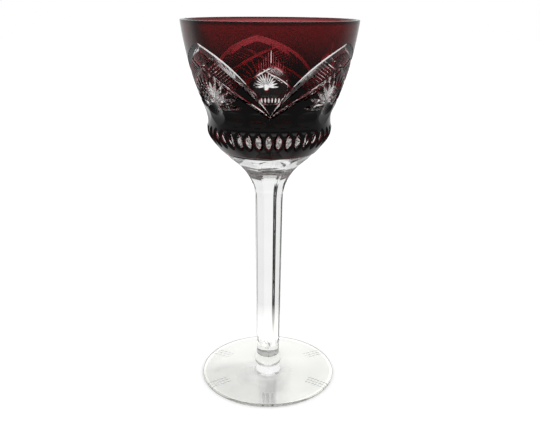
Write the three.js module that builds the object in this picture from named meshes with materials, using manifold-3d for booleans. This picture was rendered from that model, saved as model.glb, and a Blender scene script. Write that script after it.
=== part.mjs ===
// A hock glass: a thick crystal bowl cased in ruby glass and cut through to the clear,
// on a clear fluted stem, a squashed bead and a thin round foot.
// Sizes are millimetres. The origin is the centre of the resting plane and +Z points up.
// Azimuths are degrees round the axis, from the front, which is -Y, towards +X.

import * as THREE from 'three';
import { mergeVertices } from 'three/addons/utils/BufferGeometryUtils.js';
import Module from 'manifold-3d';

const wasm = await Module();
wasm.setup();

// Foot: a thin disc that rises to a seat for the bead, hollowed underneath inside its resting ring
const FOOT_DIAMETER = 73;
const FOOT_EDGE = 1.6;
const FOOT_EDGE_ROUND = 0.3;
const FOOT_HEIGHT = 6;
const FOOT_DISH = 0.8;
const RESTING_RING_DIAMETER = 64;
const RESTING_RING_EDGE = 0.9;
const FOOT_SWEEP = 2.3;
const FOOT_SEAT_MARGIN = 1.2;

// Cuts under the foot: groups of parallel grooves that run in from the edge
const FOOT_CUT_GROUPS = 6;
const FOOT_CUTS_PER_GROUP = 3;
const FOOT_CUT_LENGTH = 9.5;
const FOOT_CUT_PITCH = 2.2;
const FOOT_CUT_DEPTH = 0.45;
const FOOT_CUT_INSET = 1.1;

// Bead between the foot and the stem
const BEAD_DIAMETER = 15.4;
const BEAD_HEIGHT = 5.5;
const BEAD_FOOT_MARGIN = 0.5;

// Stem: a round rod with flat flutes, flaring at its head into the bottom of the bowl
const STEM_LENGTH = 115;
const STEM_FOOT_DIAMETER = 12.1;
const STEM_NECK_DIAMETER = 14.5;
const STEM_FLARE_LENGTH = 27;
const STEM_FLARE_POWER = 2.55;
const FLUTES = 8;
const FLUTE_TURN = 5.5;
const FLUTE_CREST = 0.06;
const FLUTE_START = 9.5;
const FLUTE_RUNOUT = 5;

// Bowl: outline of the cased blank, from its flat base over the bulge to the flared rim. The pulls and
// rises place the handles of the two curves that draw it.
const BOWL_HEIGHT = 63.5;
const BASE_DIAMETER = 46.8;
const BULGE_DIAMETER = 61.7;
const BULGE_HEIGHT = 13;
const RIM_DIAMETER = 85.4;
const HEEL_PULL = 0.3;
const HEEL_RISE = 8.6;
const BULGE_DROP = 2.7;
const WAIST_PULL = 2.9;
const WAIST_RISE = 8;
const FLARE_PULL = 4.7;
const FLARE_DROP = 36.5;

// Thickness of the glass: the wall is measured with its casing, and thins fast over the waist
const RIM_WALL = 1.9;
const WAIST_WALL = 4.2;
const WALL_POWER = 2.5;
const FLOOR = 4.6;
const CUP_FLOOR_HEIGHT = 23.5;
const CUP_FLOOR_FLAT = 0.78;
const CUP_FLOOR_BEND = 0.38;
const CASING = 0.6;
const CASING_START = 0.6;
const CASING_FIT = 0.25;

// Cut pattern. Places in it are degrees of an even layout: a valley is at 0, an arch peak at 60.
const REPEATS = 3;
const LAYOUT_TURN = 5.2;
const LAYOUT_SWAY = 7.2;
const LAYOUT_SWAY_PHASE = 36.6;

// Lines of the arches, as heights over the base of the bowl
const OUTER_LINE_VALLEY = 22.3;
const OUTER_LINE_BOW = 18.6;
const INNER_LINE_VALLEY = 21.5;
const INNER_LINE_PEAK = 43.1;
const DIAMOND_HEIGHT = 10.8;
const LINE_DEPTH = 0.95;

// Bands and diamonds that the lines leave: where they start and end, from the nearest valley
const BAND_START = 8;
const BAND_END = 41;
const DIAMOND_START = 49;

// Ribs of the bands: places of the first and last along the outer line, and their lean, as sideways
// run over height
const RIBS = 11;
const RIB_FIRST = 21;
const RIB_LAST = 40;
const RIB_LEAN = 0.75;
const RIB_DEPTH = 0.4;

// Round window in each valley
const OCULUS_HEIGHT = 34.5;
const OCULUS_RADIUS = 26;
const OCULUS_DEPTH = 2;
const OCULUS_CLIP = 3;

// Fan of leaves under each peak
const FAN_LEAVES = 13;
const FAN_HEIGHT = 25.8;
const FAN_HUB = 1.8;
const FAN_SIDE_REACH = 16.5;
const FAN_TOP_REACH = 14.3;
const LEAF_DEPTH = 0.95;

// Row of pointed lenses round the bulge
const LENSES = 39;
const LENS_LOW = 4.6;
const LENS_HIGH = 14.8;
const LENS_DEPTH = 1.4;
const LENS_SPREAD = 1.6;
const LENS_TURN = -0.5;

// Plain waist under the arches, level up to a little under the valleys
const WAIST_LEVEL_MARGIN = 3;

// Broad facets round the waist, one of them under each fan, ground by a wheel with a level axle
const FACETS = 15;
const FACET_HEIGHT = 20.5;
const FACET_WHEEL_RADIUS = 10;
const FACET_WHEEL_WIDTH = 14;
const FACET_DEPTH = 0.45;

// Cutting wheels: how far a cutter stands clear of the surface, and its side slope as run over depth
const CLEAR = 0.4;
const MITRE_SPREAD = 1.15;

// Facets round a turned piece, steps along a curve, and how far merging small faces may move a surface
const ROUND = 48;
const CURVE_STEPS = 60;
const FACE_TOLERANCE = 0.02;

const rad = THREE.MathUtils.degToRad;
const lerp = THREE.MathUtils.lerp;

const stemBottom = FOOT_HEIGHT + BEAD_HEIGHT;
const bowlBase = stemBottom + STEM_LENGTH;
const rimHeight = bowlBase + BOWL_HEIGHT;

// A closed geometry as a solid: shared vertices are merged and faces that shrank to a line are left out.
function solid(geometry) {
  geometry.deleteAttribute('normal');
  geometry.deleteAttribute('uv');
  const merged = mergeVertices(geometry, 1e-4);
  const corners = merged.index.array;
  const triVerts = [];
  for (let i = 0; i < corners.length; i += 3) {
    const [a, b, c] = corners.slice(i, i + 3);
    if (a !== b && b !== c && c !== a) triVerts.push(a, b, c);
  }
  return new wasm.Manifold(new wasm.Mesh({
    numProp: 3,
    vertProperties: merged.attributes.position.array,
    triVerts: Uint32Array.from(triVerts),
  }));
}

// A body turned about the Z axis; the outline lists [radius, height] from the bottom up.
function turned(outline, sides = ROUND, turn = 0) {
  const points = outline.map(([radius, height]) => new THREE.Vector2(radius, height));
  const geometry = new THREE.LatheGeometry(points, sides, rad(turn));
  return geometry.rotateX(Math.PI / 2);
}

// Radius of a curve, given as a list of points, at a height.
function radiusAt(points, height) {
  const next = points.findIndex((point, i) => i > 0 && point.y >= height);
  const i = next < 0 ? points.length - 1 : next;
  const [low, high] = [points[i - 1], points[i]];
  return lerp(low.x, high.x, (height - low.y) / (high.y - low.y));
}

// Outline of the cased bowl: one curve from the base to the bulge, one from there to the rim.
function bowlOutline() {
  const base = new THREE.Vector2(BASE_DIAMETER / 2, bowlBase);
  const bulge = new THREE.Vector2(BULGE_DIAMETER / 2, bowlBase + BULGE_HEIGHT);
  const rim = new THREE.Vector2(RIM_DIAMETER / 2, rimHeight);
  const lower = new THREE.CubicBezierCurve(
    base,
    new THREE.Vector2(bulge.x + HEEL_PULL, base.y + HEEL_RISE),
    new THREE.Vector2(bulge.x, bulge.y - BULGE_DROP),
    bulge,
  );
  const upper = new THREE.CubicBezierCurve(
    bulge,
    new THREE.Vector2(bulge.x - WAIST_PULL, bulge.y + WAIST_RISE),
    new THREE.Vector2(rim.x - FLARE_PULL, rim.y - FLARE_DROP),
    rim,
  );
  return [...lower.getPoints(CURVE_STEPS), ...upper.getPoints(CURVE_STEPS).slice(1)];
}

const outline = bowlOutline();
const outerRadius = (height) => radiusAt(outline, height);

// Steepness of the outside of the bowl: change of radius for each millimetre of height.
const outerSlope = (height) => (outerRadius(height + 0.2) - outerRadius(height - 0.2)) / 0.4;

// A layer's thickness measured level, where the wall leans.
const levelThickness = (thickness, height) => thickness * Math.hypot(1, outerSlope(height));

const casingBackRadius = (height) => outerRadius(height) - levelThickness(CASING, height);
const clearRadius = (height) => casingBackRadius(height) - CASING_FIT;

// Height where the straight inside wall gives way to the rounded floor of the cup.
const wallFoot = bowlBase + CUP_FLOOR_HEIGHT;

function cupRadius(height) {
  const left = (rimHeight - height) / (rimHeight - wallFoot);
  return outerRadius(height) - lerp(RIM_WALL, WAIST_WALL, left ** WALL_POWER);
}

// Inside of the cup from the middle of its floor to the rim, as [radius, height].
function cupOutline(floorSteps, wallSteps) {
  const side = cupRadius(wallFoot);
  const bend = CUP_FLOOR_HEIGHT * CUP_FLOOR_BEND;
  const lean = (cupRadius(wallFoot + 1) - side) * bend;
  const floor = bowlBase + FLOOR;
  const curve = new THREE.CubicBezierCurve(
    new THREE.Vector2(0, floor),
    new THREE.Vector2(side * CUP_FLOOR_FLAT, floor),
    new THREE.Vector2(side - lean, wallFoot - bend),
    new THREE.Vector2(side, wallFoot),
  );
  const points = curve.getPoints(floorSteps).map((point) => [point.x, point.y]);
  for (let i = 1; i <= wallSteps; i += 1) {
    const height = lerp(wallFoot, rimHeight, i / wallSteps);
    points.push([cupRadius(height), height]);
  }
  return points;
}

// Heights at which the outside of the bowl is turned: closer together over the bulge and waist.
function bowlLevels(from) {
  const bulgeTop = bowlBase + BULGE_HEIGHT * 1.8;
  const steps = 7;
  const levels = [];
  for (let i = 0; i <= steps; i += 1) levels.push(lerp(from, bulgeTop, i / steps));
  for (let i = 1; i <= steps - 2; i += 1) levels.push(lerp(bulgeTop, rimHeight, i / (steps - 2)));
  return levels;
}

// Azimuth of a place in the pattern; the hand-marked repeats sit a little unevenly round the bowl.
function azimuthOf(place) {
  return place + LAYOUT_TURN - LAYOUT_SWAY * Math.sin(rad(place + LAYOUT_SWAY_PHASE));
}

// Point of the outer surface, or one sunk under it at the same height, and the outward direction there.
function onBowl(azimuth, height, sunk = 0) {
  const radius = outerRadius(height) - levelThickness(sunk, height);
  const side = new THREE.Vector3(Math.sin(rad(azimuth)), -Math.cos(rad(azimuth)), 0);
  const point = side.clone().multiplyScalar(radius).setZ(height);
  const normal = side.clone().setZ(-outerSlope(height)).normalize();
  return { point, normal };
}

// Corners of a V-shaped cutter, as shares of its half width and of its depth.
const V_SECTION = [[1, 0], [-1, 0], [0, 1]];

// A cutter that follows stations of { point, normal, depth }; its sides slope out by spread.
function grooveCutter(stations, spread = MITRE_SPREAD) {
  const last = stations.length - 1;
  const positions = [];
  stations.forEach(({ point, normal, depth }, i) => {
    const ahead = stations[Math.min(i + 1, last)].point.clone();
    const along = ahead.sub(stations[Math.max(i - 1, 0)].point).normalize();
    const side = normal.clone().cross(along).normalize();
    const tall = depth + CLEAR;
    V_SECTION.forEach(([across, down]) => {
      const corner = point.clone()
        .addScaledVector(normal, CLEAR - down * tall)
        .addScaledVector(side, across * tall * spread);
      positions.push(corner.x, corner.y, corner.z);
    });
  });
  const n = V_SECTION.length;
  const index = [];
  for (let i = 0; i < last; i += 1) {
    for (let j = 0; j < n; j += 1) {
      const [a, b] = [i * n + j, i * n + ((j + 1) % n)];
      index.push(a, b, b + n, a, b + n, a + n);
    }
  }
  index.push(0, 2, 1, last * n, last * n + 1, last * n + 2);
  const geometry = new THREE.BufferGeometry();
  geometry.setAttribute('position', new THREE.BufferAttribute(Float32Array.from(positions), 3));
  return solid(geometry.setIndex(index));
}

// Stations along a line on the bowl; line(t) gives [azimuth, height] and depth(t) the depth there.
function stationsOn(line, depth, steps) {
  return Array.from({ length: steps + 1 }, (_, i) => {
    const t = i / steps;
    const [azimuth, height] = line(t);
    return { ...onBowl(azimuth, height), depth: depth(t) };
  });
}

// Depth of a cut that starts and ends at the surface and is deepest half way.
const lensDepth = (deepest) => (t) => deepest * (1 - (2 * t - 1) ** 2);

// Places of the valleys and of the peaks beside them.
const valleys = Array.from({ length: REPEATS }, (_, i) => (360 / REPEATS) * i);
const halfRepeat = 180 / REPEATS;

// Cutters for the round windows: caps of a ball, sunk into the bowl.
function windowCutters() {
  const rings = 4;
  const cap = Array.from({ length: rings + 1 }, (_, i) => {
    const angle = (Math.PI / 6) * (i / rings);
    return [OCULUS_RADIUS * Math.sin(angle), -OCULUS_RADIUS * Math.cos(angle)];
  });
  return valleys.map((valley) => {
    const geometry = turned([...cap, [0, cap[rings][1]]], 20);
    const { point, normal } = onBowl(azimuthOf(valley), bowlBase + OCULUS_HEIGHT);
    geometry.applyQuaternion(new THREE.Quaternion().setFromUnitVectors(new THREE.Vector3(0, 0, 1), normal));
    const centre = point.addScaledVector(normal, OCULUS_RADIUS - OCULUS_DEPTH);
    return solid(geometry.translate(centre.x, centre.y, centre.z));
  });
}

// Height of the outer line, which climbs in a bow from a valley to the next peak: a straight rise and
// a parabola over it.
function outerLine(place) {
  const share = Math.min(1, place / halfRepeat);
  const rise = lerp(OUTER_LINE_VALLEY, INNER_LINE_PEAK + DIAMOND_HEIGHT, share);
  return bowlBase + rise + OUTER_LINE_BOW * share * (1 - share);
}

// Height of the inner line, which climbs straight from a valley past the middle of the arch.
function innerLine(place) {
  return bowlBase + lerp(INNER_LINE_VALLEY, INNER_LINE_PEAK, place / halfRepeat);
}

// A line as it comes from the next valley, at a place counted from this one.
const fromNextValley = (line) => (place) => line(2 * halfRepeat - place);

// Width of one degree of the layout at a height.
const placeWidth = (height) => rad(1) * outerRadius(height);

// Height at a place that keeps a margin, square to the line, over it or, if negative, under it.
function besideLine(line, place, margin) {
  const run = 2 * placeWidth(line(place));
  return line(place) + margin * Math.hypot(1, (line(place + 1) - line(place - 1)) / run);
}

// A patch of skin. edge(across, up, margin) gives [place, height] for shares across and up the patch,
// with margin as the room that it leaves to the middle of each cut line that bounds it. The margin is
// less at the back of the skin, because the lines are V-shaped. relief(i) is the depth of column i.
function skinPatch(columns, rows, closedRing, edge, relief = () => 0) {
  const positions = [];
  const count = closedRing ? columns : columns + 1;
  const faces = [
    { margin: LINE_DEPTH * MITRE_SPREAD, sunk: relief },
    { margin: (LINE_DEPTH - CASING) * MITRE_SPREAD, sunk: () => CASING },
  ];
  for (const { margin, sunk } of faces) {
    for (let i = 0; i < count; i += 1) {
      for (let j = 0; j <= rows; j += 1) {
        const [place, height] = edge(i / columns, j / rows, margin);
        const { point } = onBowl(azimuthOf(place), height, sunk(i));
        positions.push(point.x, point.y, point.z);
      }
    }
  }
  const back = count * (rows + 1);
  const at = (i, j) => (i % count) * (rows + 1) + j;
  const index = [];
  const quad = (a, b, c, d) => index.push(a, b, c, a, c, d);
  for (let i = 0; i < columns; i += 1) {
    for (let j = 0; j < rows; j += 1) {
      quad(at(i, j), at(i + 1, j), at(i + 1, j + 1), at(i, j + 1));
      quad(back + at(i, j), back + at(i, j + 1), back + at(i + 1, j + 1), back + at(i + 1, j));
    }
    quad(at(i, 0), back + at(i, 0), back + at(i + 1, 0), at(i + 1, 0));
    quad(at(i, rows), at(i + 1, rows), back + at(i + 1, rows), back + at(i, rows));
  }
  if (!closedRing) {
    for (let j = 0; j < rows; j += 1) {
      quad(at(0, j), at(0, j + 1), back + at(0, j + 1), back + at(0, j));
      quad(at(columns, j), back + at(columns, j), back + at(columns, j + 1), at(columns, j + 1));
    }
  }
  const geometry = new THREE.BufferGeometry();
  geometry.setAttribute('position', new THREE.BufferAttribute(Float32Array.from(positions), 3));
  return solid(geometry.setIndex(index));
}

const cutAway = (blank, cutters) => cutters.reduce((body, cutter) => body.subtract(cutter), blank);

// Distance in places from the nearest valley.
const fromValley = (place) => Math.abs(((place + halfRepeat) % (2 * halfRepeat)) - halfRepeat);

// The skin over the arches, up to the rim: a ring with a round window in each valley.
function rubyRim() {
  const lowest = bowlBase + OCULUS_HEIGHT - OCULUS_CLIP;
  const edge = (across, up, margin) => {
    const place = 360 * across;
    const low = besideLine(outerLine, fromValley(place), margin);
    return [place, lerp(Math.max(low, lowest), rimHeight, up)];
  };
  return cutAway(skinPatch(ROUND, 4, true, edge), windowCutters());
}

// A fan of leaves under each peak: the level leaves reach further than the upright ones.
function fanCutters() {
  const hub = bowlBase + FAN_HEIGHT;
  return valleys.flatMap((valley) => Array.from({ length: FAN_LEAVES }, (_, i) => {
    const angle = (Math.PI * i) / (FAN_LEAVES - 1);
    const reach = lerp(FAN_TOP_REACH, FAN_SIDE_REACH, (1 - Math.sin(angle)) ** 2);
    const line = (t) => {
      const out = lerp(FAN_HUB, reach, t);
      const height = hub + out * Math.sin(angle);
      const turn = THREE.MathUtils.radToDeg((out * Math.cos(angle)) / outerRadius(height));
      return [azimuthOf(valley + halfRepeat) + turn, height];
    };
    return grooveCutter(stationsOn(line, lensDepth(LEAF_DEPTH), 2));
  }));
}

// A row of upright pointed lenses round the bulge.
function lensCutters() {
  return Array.from({ length: LENSES }, (_, i) => {
    const azimuth = LENS_TURN + (360 / LENSES) * i;
    const line = (t) => [azimuth, bowlBase + lerp(LENS_LOW, LENS_HIGH, t)];
    return grooveCutter(stationsOn(line, lensDepth(LENS_DEPTH), 3), LENS_SPREAD);
  });
}

// Broad shallow facets round the waist, counted from a peak; they stay within the skin.
function facetCutters() {
  return Array.from({ length: FACETS }, (_, i) => {
    const azimuth = azimuthOf(halfRepeat + (360 / FACETS) * i);
    const wheel = new THREE.CylinderGeometry(FACET_WHEEL_RADIUS, FACET_WHEEL_RADIUS, FACET_WHEEL_WIDTH, 14);
    wheel.rotateZ(Math.PI / 2 + rad(azimuth));
    const { point, normal } = onBowl(azimuth, bowlBase + FACET_HEIGHT);
    const centre = point.addScaledVector(normal, FACET_WHEEL_RADIUS - FACET_DEPTH);
    return solid(wheel.translate(centre.x, centre.y, centre.z));
  });
}

// The skin under the arches, round the waist and the bulge, with its fans, facets and lenses.
function rubyWaist() {
  const levelTop = bowlBase + INNER_LINE_VALLEY - WAIST_LEVEL_MARGIN;
  const edge = (across, up, margin) => {
    const place = 360 * across;
    const top = besideLine(innerLine, fromValley(place), -margin);
    const level = lerp(bowlBase + CASING_START, levelTop, Math.min(1, up * 1.5));
    return [place, lerp(level, top, Math.max(0, up * 3 - 2))];
  };
  return cutAway(skinPatch(ROUND, 9, true, edge), [...lensCutters(), ...fanCutters(), ...facetCutters()]);
}

// A ribbed band beside a valley. Its columns lean like the ribs: each starts further from the valley
// than it ends, and the last lies along the inner line of the next arch.
function rubyBand(valley, side) {
  const tops = [BAND_START, lerp(BAND_START, RIB_FIRST, 0.5)];
  for (let i = 0; i <= 2 * RIBS; i += 1) tops.push(lerp(RIB_FIRST, RIB_LAST, i / (2 * RIBS)));
  tops.push(BAND_END);
  const last = tops.length - 1;
  const column = (across) => Math.round(last * (side > 0 ? across : 1 - across));
  const edge = (across, up, margin) => {
    const top = tops[column(across)];
    const lean = RIB_LEAN * (top - BAND_START) / (BAND_END - BAND_START);
    const run = lean * (outerLine(top) - innerLine(top));
    const foot = top + run / placeWidth(outerLine(top));
    const low = besideLine(innerLine, foot, margin);
    return [valley + side * lerp(foot, top, up), lerp(low, besideLine(outerLine, top, -margin), up)];
  };
  const ribbed = (i) => i > 2 && i < last - 1 && i % 2 === 1;
  return skinPatch(last, 2, false, edge, (i) => (ribbed(column(i / last)) ? RIB_DEPTH : 0));
}

// The diamond where two bands cross under a peak.
function rubyDiamond(valley) {
  const edge = (across, up, margin) => {
    const place = lerp(DIAMOND_START, 2 * halfRepeat - DIAMOND_START, across);
    const near = Math.min(place, 2 * halfRepeat - place);
    const low = besideLine(fromNextValley(innerLine), near, margin);
    return [valley + place, lerp(low, besideLine(outerLine, near, -margin), up)];
  };
  return skinPatch(6, 2, false, edge);
}

// The clear body of the bowl under the skin, with the round windows ground into it.
function clearBowl() {
  const outside = bowlLevels(bowlBase).map((height) => [clearRadius(height), height]);
  const inside = cupOutline(7, 4).reverse();
  return cutAway(solid(turned([[0, bowlBase], ...outside, ...inside])), windowCutters());
}

// Distance from the axis to the flats of the stem at a height above its lower end.
function stemFlat(height) {
  const straight = lerp(STEM_FOOT_DIAMETER, STEM_NECK_DIAMETER, height / STEM_LENGTH) / 2;
  const flare = Math.max(0, (height - STEM_LENGTH + STEM_FLARE_LENGTH) / STEM_FLARE_LENGTH);
  const headRadius = clearRadius(bowlBase);
  return straight + (headRadius - STEM_NECK_DIAMETER / 2) * flare ** STEM_FLARE_POWER;
}

// Share by which the round rod stands out past its flats: none at the ends, where the flutes run out.
function fluteCrest(height) {
  const start = THREE.MathUtils.smoothstep(height, FLUTE_START - FLUTE_RUNOUT, FLUTE_START);
  const end = 1 - THREE.MathUtils.smoothstep(height, STEM_LENGTH - STEM_FLARE_LENGTH / 2, STEM_LENGTH);
  return 1 + FLUTE_CREST * start * end;
}

// The stem: a round rod and a prism with the flutes' flats, of which only what they share is left.
function stem() {
  const heights = [0];
  for (const share of [1, 0.5, 0]) heights.push(FLUTE_START - FLUTE_RUNOUT * share);
  heights.push(STEM_LENGTH / 2);
  for (let i = 0; i <= 8; i += 1) heights.push(STEM_LENGTH - STEM_FLARE_LENGTH * (1 - i / 8));
  const rod = [[0, stemBottom]];
  const prism = [[0, stemBottom]];
  for (const height of heights) {
    const flat = stemFlat(height);
    const z = stemBottom + height;
    rod.push([flat * fluteCrest(height), z]);
    prism.push([flat / Math.cos(Math.PI / FLUTES), z]);
  }
  rod.push([0, bowlBase]);
  prism.push([0, bowlBase]);
  return solid(turned(rod)).intersect(solid(turned(prism, FLUTES, 180 / FLUTES + FLUTE_TURN)));
}

// The bead: a short ring of glass squashed between the foot and the stem.
function bead() {
  const [low, high] = [STEM_FOOT_DIAMETER / 2 + BEAD_FOOT_MARGIN, STEM_FOOT_DIAMETER / 2];
  const steps = 6;
  const side = Array.from({ length: steps + 1 }, (_, i) => {
    const t = i / steps;
    const bulge = (BEAD_DIAMETER / 2 - lerp(low, high, t)) * Math.sin(Math.PI * t);
    return [lerp(low, high, t) + bulge, FOOT_HEIGHT + BEAD_HEIGHT * t];
  });
  return solid(turned([[0, FOOT_HEIGHT], ...side, [0, stemBottom]]));
}

// The blank of the foot: dished underneath, rounded at the edge, swept up to the bead's seat.
function footBlank() {
  const radius = FOOT_DIAMETER / 2;
  const ring = RESTING_RING_DIAMETER / 2;
  const seat = STEM_FOOT_DIAMETER / 2 + FOOT_SEAT_MARGIN;
  const brim = radius - FOOT_EDGE_ROUND;
  const [dishSteps, sweepSteps] = [4, 6];
  const points = [];
  for (let i = 0; i <= dishSteps; i += 1) {
    const t = i / dishSteps;
    points.push([ring * t, FOOT_DISH * (1 - t ** 2)]);
  }
  points.push([radius - RESTING_RING_EDGE, 0], [radius, FOOT_EDGE / 2], [brim, FOOT_EDGE]);
  for (let i = 1; i <= sweepSteps; i += 1) {
    const t = i / sweepSteps;
    points.push([lerp(brim, seat, t), lerp(FOOT_EDGE, FOOT_HEIGHT, t ** FOOT_SWEEP)]);
  }
  points.push([0, FOOT_HEIGHT]);
  return solid(turned(points));
}

// Grooves under the foot, in groups of parallel cuts that point at the axis.
function footCutters() {
  const cutters = [];
  const down = new THREE.Vector3(0, 0, -1);
  const outer = FOOT_DIAMETER / 2 - FOOT_CUT_INSET;
  for (let group = 0; group < FOOT_CUT_GROUPS; group += 1) {
    const azimuth = rad((360 / FOOT_CUT_GROUPS) * group);
    for (let i = 0; i < FOOT_CUTS_PER_GROUP; i += 1) {
      const across = FOOT_CUT_PITCH * (i - (FOOT_CUTS_PER_GROUP - 1) / 2);
      const stations = [0, 0.25, 0.75, 1].map((t) => {
        const point = new THREE.Vector3(across, -lerp(outer - FOOT_CUT_LENGTH, outer, t), 0);
        const depth = FOOT_CUT_DEPTH * (t > 0 && t < 1 ? 1 : 0.2);
        return { point: point.applyAxisAngle(new THREE.Vector3(0, 0, 1), azimuth), normal: down, depth };
      });
      cutters.push(grooveCutter(stations));
    }
  }
  return cutters;
}

const foot = () => cutAway(footBlank(), footCutters());

const ruby = new THREE.MeshStandardMaterial({
  color: 0x7a0c16, roughness: 0.05, metalness: 0, transparent: true, opacity: 0.8,
});
const crystal = new THREE.MeshStandardMaterial({
  color: 0xe8efec, roughness: 0.03, metalness: 0, transparent: true, opacity: 0.35,
});

function piece(name, body, material) {
  const { vertProperties, triVerts } = body.asOriginal().simplify(FACE_TOLERANCE).getMesh();
  const geometry = new THREE.BufferGeometry();
  geometry.setAttribute('position', new THREE.BufferAttribute(vertProperties, 3));
  geometry.setIndex(new THREE.BufferAttribute(triVerts, 1));
  geometry.computeVertexNormals();
  const mesh = new THREE.Mesh(geometry, material);
  mesh.name = name;
  return mesh;
}

const glass = new THREE.Group();
glass.add(
  piece('clear_bowl', clearBowl(), crystal),
  piece('ruby_rim', rubyRim(), ruby),
  piece('ruby_waist', rubyWaist(), ruby),
  piece('stem', stem(), crystal),
  piece('bead', bead(), crystal),
  piece('foot', foot(), crystal),
);
valleys.forEach((valley, i) => {
  glass.add(
    piece(`ruby_band_${2 * i + 1}`, rubyBand(valley, -1), ruby),
    piece(`ruby_band_${2 * i + 2}`, rubyBand(valley, 1), ruby),
    piece(`ruby_diamond_${i + 1}`, rubyDiamond(valley), ruby),
  );
});

export default glass;
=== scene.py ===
"""A hock glass: a crystal bowl cased in ruby glass and cut through to the clear, on a fluted stem."""

import bpy
import numpy as np
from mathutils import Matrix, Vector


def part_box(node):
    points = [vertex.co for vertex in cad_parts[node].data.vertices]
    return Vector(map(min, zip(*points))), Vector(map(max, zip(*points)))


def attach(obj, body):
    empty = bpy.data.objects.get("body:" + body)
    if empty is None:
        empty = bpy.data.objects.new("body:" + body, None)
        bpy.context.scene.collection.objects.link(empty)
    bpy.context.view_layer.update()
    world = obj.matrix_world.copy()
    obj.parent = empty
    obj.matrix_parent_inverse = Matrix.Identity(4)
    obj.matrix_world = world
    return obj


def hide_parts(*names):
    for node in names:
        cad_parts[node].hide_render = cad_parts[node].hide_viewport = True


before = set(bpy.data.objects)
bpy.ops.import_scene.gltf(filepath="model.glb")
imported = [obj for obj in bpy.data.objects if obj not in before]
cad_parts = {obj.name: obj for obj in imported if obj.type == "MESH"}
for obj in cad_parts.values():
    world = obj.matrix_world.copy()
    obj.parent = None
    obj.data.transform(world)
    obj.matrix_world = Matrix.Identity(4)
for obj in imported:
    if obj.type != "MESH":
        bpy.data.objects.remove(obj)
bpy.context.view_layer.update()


# Camera
# It stands in front of the glass, a little over its rim, and looks down at about the glass's middle.
# Angles are in degrees. Lengths are in metres, written as a number of millimetres.
MM = 0.001
CAMERA_DISTANCE = 324 * MM
CAMERA_HEIGHT = 199 * MM
CAMERA_PITCH = 18.36
CAMERA_ROLL = -0.35
FOCAL_PIXELS = 654
FRAME_PIXELS = 540
SENSOR_WIDTH = 36

camera_data = bpy.data.cameras.new("camera")
camera_data.sensor_width = SENSOR_WIDTH
camera_data.lens = FOCAL_PIXELS / FRAME_PIXELS * SENSOR_WIDTH
camera = bpy.data.objects.new("camera", camera_data)
camera.location = (0, -CAMERA_DISTANCE, CAMERA_HEIGHT)
camera.rotation_euler = np.radians((90 - CAMERA_PITCH, CAMERA_ROLL, 0))
bpy.context.scene.collection.objects.link(camera)
bpy.context.scene.camera = camera


# Clear bowl
# The thick crystal body of the bowl, blown inside a skin of ruby glass and fused to it. Wheels cut the
# pattern through the skin into this body: the lines of the arches, round windows, fans and lenses.
BOWL_BASE, RIM_HEIGHT = (corner[2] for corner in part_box("clear_bowl"))
RIM_RADIUS = 42.66 * MM
BASE_RADIUS = 23.4 * MM
BULGE_RADIUS = 30.85 * MM
BULGE_RISE = 13 * MM
HEEL_PULL, HEEL_RISE = 0.3 * MM, 8.6 * MM
BULGE_DROP = 2.7 * MM
WAIST_PULL, WAIST_RISE = 2.9 * MM, 8 * MM
FLARE_PULL, FLARE_DROP = 4.7 * MM, 36.5 * MM
RIM_WALL = 1.9 * MM
WAIST_WALL = 4.2 * MM
WALL_POWER = 2.5
LIP_ROUND = 0.45 * MM
CUP_FLOOR = 4.6 * MM
CUP_FLOOR_FLAT = 0.78
CUP_FLOOR_BEND = 0.38
CUP_WALL_FOOT = 23.5 * MM
SKIN_SHARE = (0.12, 0.30)
SKIN_POWER = 1.45
RIM_BEAD = 0.3 * MM
RIM_BEAD_SPAN = (1.1 * MM, 0.5 * MM)
SEAM = 0.01 * MM

# Places are degrees of an even layout, with a valley of the zigzag at 0 and a peak at 60.
LAYOUT_TURN = 5.2
LAYOUT_SWAY = 7.2
LAYOUT_SWAY_PHASE = 36.6
REPEAT = 120
HALF_REPEAT = REPEAT / 2

# Heights of the pattern are over the base of the bowl. The lines have one in a valley and one at a peak.
OUTER_LINE = (22.3 * MM, 52.4 * MM)
OUTER_LINE_BOW = 18.6 * MM
INNER_LINE = (21.5 * MM, 43.1 * MM)
LINE_DEPTH = 0.95
LINE_SWELL = 0.4
SWELL_MIDDLE, SWELL_WIDTH = 26, 13
VALLEY_WIDTH = 10
UPPER_RUNS = ((12, 25, 42), (0.55, 0.9, 1.4))
FINE_DEPTH = 0.5
FINE_RUNS = (0.6, 1.1)
WIDE_RUNS = (1.8, 1.1)
WIDE_PLACES = (36, 44)
CROSSING_FADE = 1.2 * MM
OCULUS_HEIGHT = 34.7 * MM
OCULUS_DEPTH = 1.65 * MM
OCULUS_BEND = (110 * MM, 40 * MM)
OCULUS_FOOT = 7.2 * MM
OCULUS_BEVEL = 0.8
FAN_HEIGHT = 25.8 * MM
FAN_LEAVES = 13
FAN_HUB = 3.4 * MM
FAN_HUB_DEPTH = 0.5 * MM
FAN_REACH = (16.5 * MM, 14.6 * MM)
LEAF_WIDEST = 8.5 * MM
LEAF_POWER = 1.7
LEAF_RUN = 1.8
LEAF_TIP = 1.2 * MM
NOTCH_START = 4 * MM
NOTCH_PITCH = 1.2 * MM
NOTCH_DEPTH = 0.5 * MM
EDGE_RUN = 0.6
LENSES = 39
LENS_TURN = 0.5
LENS_SPAN = (4.6 * MM, 14.8 * MM)
LENS_DEPTH = 1.9 * MM
LENS_POINT = 2.2
LENS_SLOPE = 0.3
LENS_ROUND = 5.2 * MM
FACETS = 15
FACET_HEIGHT = 20.5 * MM
FACET_WHEEL = 10 * MM
FACET_DEPTH = 0.5 * MM
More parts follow.
